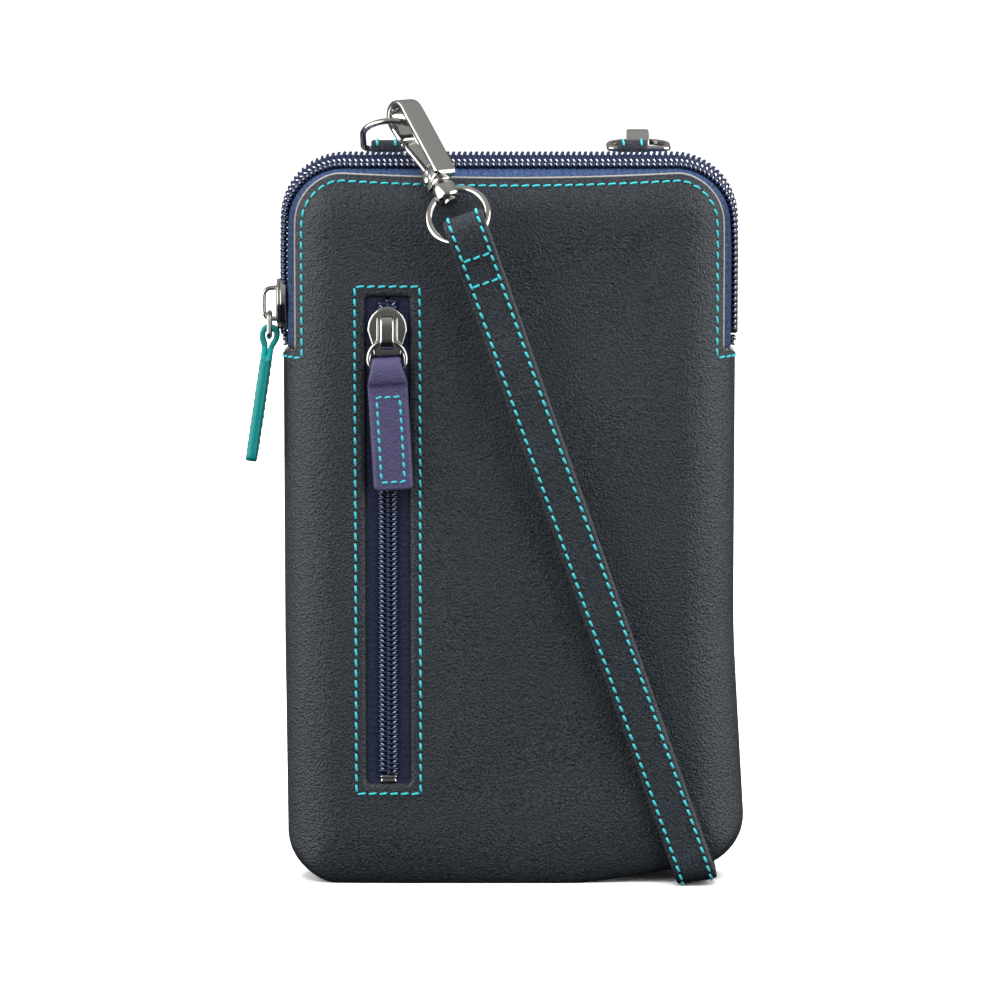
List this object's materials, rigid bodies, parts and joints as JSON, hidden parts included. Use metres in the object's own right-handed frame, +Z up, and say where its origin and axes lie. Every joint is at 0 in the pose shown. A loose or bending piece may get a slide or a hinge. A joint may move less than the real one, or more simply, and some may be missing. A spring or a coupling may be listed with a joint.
{
  "type": "phone pouch",
  "caption": "Slim upright leather phone pouch with a zipped mouth, a vertical zipped front pocket and a detachable clip-on carrying strap folded away behind it.",
  "frame": {"origin": "middle of the underside of the pouch, on the surface that it stands on", "axes": "+X to the right seen from the front, +Y from the front panel to the back panel, +Z up"},
  "size_m": [0.1226, 0.061, 0.1921],
  "materials": {
    "black_leather": "fine smooth grain, semi-matt",
    "strap_leather": "fine smooth grain, semi-matt",
    "stiffener_board": "bonded fibre board",
    "lining_cloth": "plain woven lining",
    "blue_zip_tape": "ribbed woven tape",
    "navy_zip_tape": "ribbed woven tape",
    "blue_coil": "moulded polyester coil",
    "navy_coil": "moulded polyester coil",
    "teal_leather": "smooth dyed, painted edges",
    "purple_leather": "smooth dyed, painted edges",
    "nickel_plate": "polished nickel plate"
  },
  "bodies": {
    "pouch": {"front_panel": "black_leather", "back_panel": "black_leather", "front_stiffener": "stiffener_board", "back_stiffener": "stiffener_board", "front_lining": "lining_cloth", "back_lining": "lining_cloth", "main_zip_front_tape": "blue_zip_tape", "main_zip_back_tape": "blue_zip_tape", "main_zip_front_coil": "blue_coil", "main_zip_back_coil": "blue_coil", "main_zip_end_stops": "blue_coil", "pocket_zip_left_tape": "navy_zip_tape", "pocket_zip_right_tape": "navy_zip_tape", "pocket_zip_left_coil": "navy_coil", "pocket_zip_right_coil": "navy_coil", "pocket_zip_end_stop": "navy_coil", "pocket_bag": "lining_cloth", "left_ring_tab": "strap_leather", "right_ring_tab": "strap_leather", "strap_front": "strap_leather", "strap_hank": "strap_leather", "strap_tie": "strap_leather"},
    "main_slider": {"main_slider": "nickel_plate"},
    "main_link": {"main_pull_link": "nickel_plate"},
    "main_pull": {"main_pull_leather": "teal_leather"},
    "pocket_slider": {"pocket_slider": "nickel_plate"},
    "pocket_ring": {"pocket_pull_ring": "nickel_plate"},
    "pocket_pull": {"pocket_pull_leather": "purple_leather"},
    "left_d_ring": {"left_d_ring": "nickel_plate"},
    "right_d_ring": {"right_d_ring": "nickel_plate"},
    "left_strap_ring": {"left_strap_ring": "nickel_plate"},
    "left_hook": {"left_hook": "nickel_plate", "left_swivel_post": "nickel_plate", "left_gate_pin": "nickel_plate", "left_gate_spring": "nickel_plate"},
    "left_gate": {"left_gate": "nickel_plate"},
    "right_strap_ring": {"right_strap_ring": "nickel_plate"},
    "right_hook": {"right_hook": "nickel_plate", "right_swivel_post": "nickel_plate", "right_gate_pin": "nickel_plate", "right_gate_spring": "nickel_plate"},
    "right_gate": {"right_gate": "nickel_plate"}
  },
  "joints": [
    {"name": "main_slider_slide", "type": "slide", "parent": "pouch", "child": "main_slider", "axis": [0, 0, 1], "range_m": [-0.001, 0.014]},
    {"name": "main_link_swing", "type": "hinge", "parent": "main_slider", "child": "main_link", "pos_m": [-0.05845, 0, 0.13975], "axis": [0, 1, 0], "range_deg": [0, 90]},
    {"name": "main_pull_swing", "type": "hinge", "parent": "main_link", "child": "main_pull", "pos_m": [-0.05845, 0, 0.13415], "axis": [0, 1, 0], "range_deg": [-4, 60]},
    {"name": "pocket_slider_slide", "type": "slide", "parent": "pouch", "child": "pocket_slider", "axis": [0, 0, -1], "range_m": [-0.0015, 0.095]},
    {"name": "pocket_ring_swing", "type": "hinge", "parent": "pocket_slider", "child": "pocket_ring", "pos_m": [-0.0295, -0.0147, 0.1346], "axis": [-1, 0, 0], "range_deg": [0, 70]},
    {"name": "pocket_pull_swing", "type": "hinge", "parent": "pocket_ring", "child": "pocket_pull", "pos_m": [-0.0295, -0.0147, 0.1257], "axis": [-1, 0, 0], "range_deg": [-2, 8]},
    {"name": "left_d_ring_swing", "type": "hinge", "parent": "pouch", "child": "left_d_ring", "pos_m": [-0.03, 0.0065, 0.1794], "axis": [1, 0, 0], "range_deg": [-2, 0.8]},
    {"name": "right_d_ring_swing", "type": "hinge", "parent": "pouch", "child": "right_d_ring", "pos_m": [0.03, 0.0065, 0.1794], "axis": [1, 0, 0], "range_deg": [-3, 1.5]},
    {"name": "left_strap_ring_swing", "type": "hinge", "parent": "pouch", "child": "left_strap_ring", "pos_m": [-0.00921, -0.02324, 0.15992], "axis": [0.888, 0.0833, 0.4523], "range_deg": [0, 1.2]},
    {"name": "left_hook_spin", "type": "hinge", "parent": "left_strap_ring", "child": "left_hook", "pos_m": [-0.01225, -0.0195, 0.1652], "axis": [-0.4252, 0.5236, 0.7383], "range_deg": [-5, 5]},
    {"name": "left_gate_press", "type": "hinge", "parent": "left_hook", "child": "left_gate", "pos_m": [-0.01792, -0.01244, 0.17318], "axis": [0.7929, 0.6088, 0.0249], "range_deg": [0, 20], "stiffness_Nm_per_rad": 0.01, "deforming": ["left_gate_spring"]},
    {"name": "right_strap_ring_swing", "type": "hinge", "parent": "pouch", "child": "right_strap_ring", "pos_m": [0.0316, 0.02073, 0.14125], "axis": [1, 0, 0], "range_deg": [-1, 1.5]},
    {"name": "right_hook_spin", "type": "hinge", "parent": "right_strap_ring", "child": "right_hook", "pos_m": [0.0316, 0.02073, 0.1484], "axis": [0, 0, 1], "range_deg": [-8, 8]},
    {"name": "right_gate_press", "type": "hinge", "parent": "right_hook", "child": "right_gate", "pos_m": [0.0316, 0.02203, 0.1604], "axis": [1, 0, 0], "range_deg": [0, 20], "stiffness_Nm_per_rad": 0.01, "deforming": ["right_gate_spring"]}
  ]
}
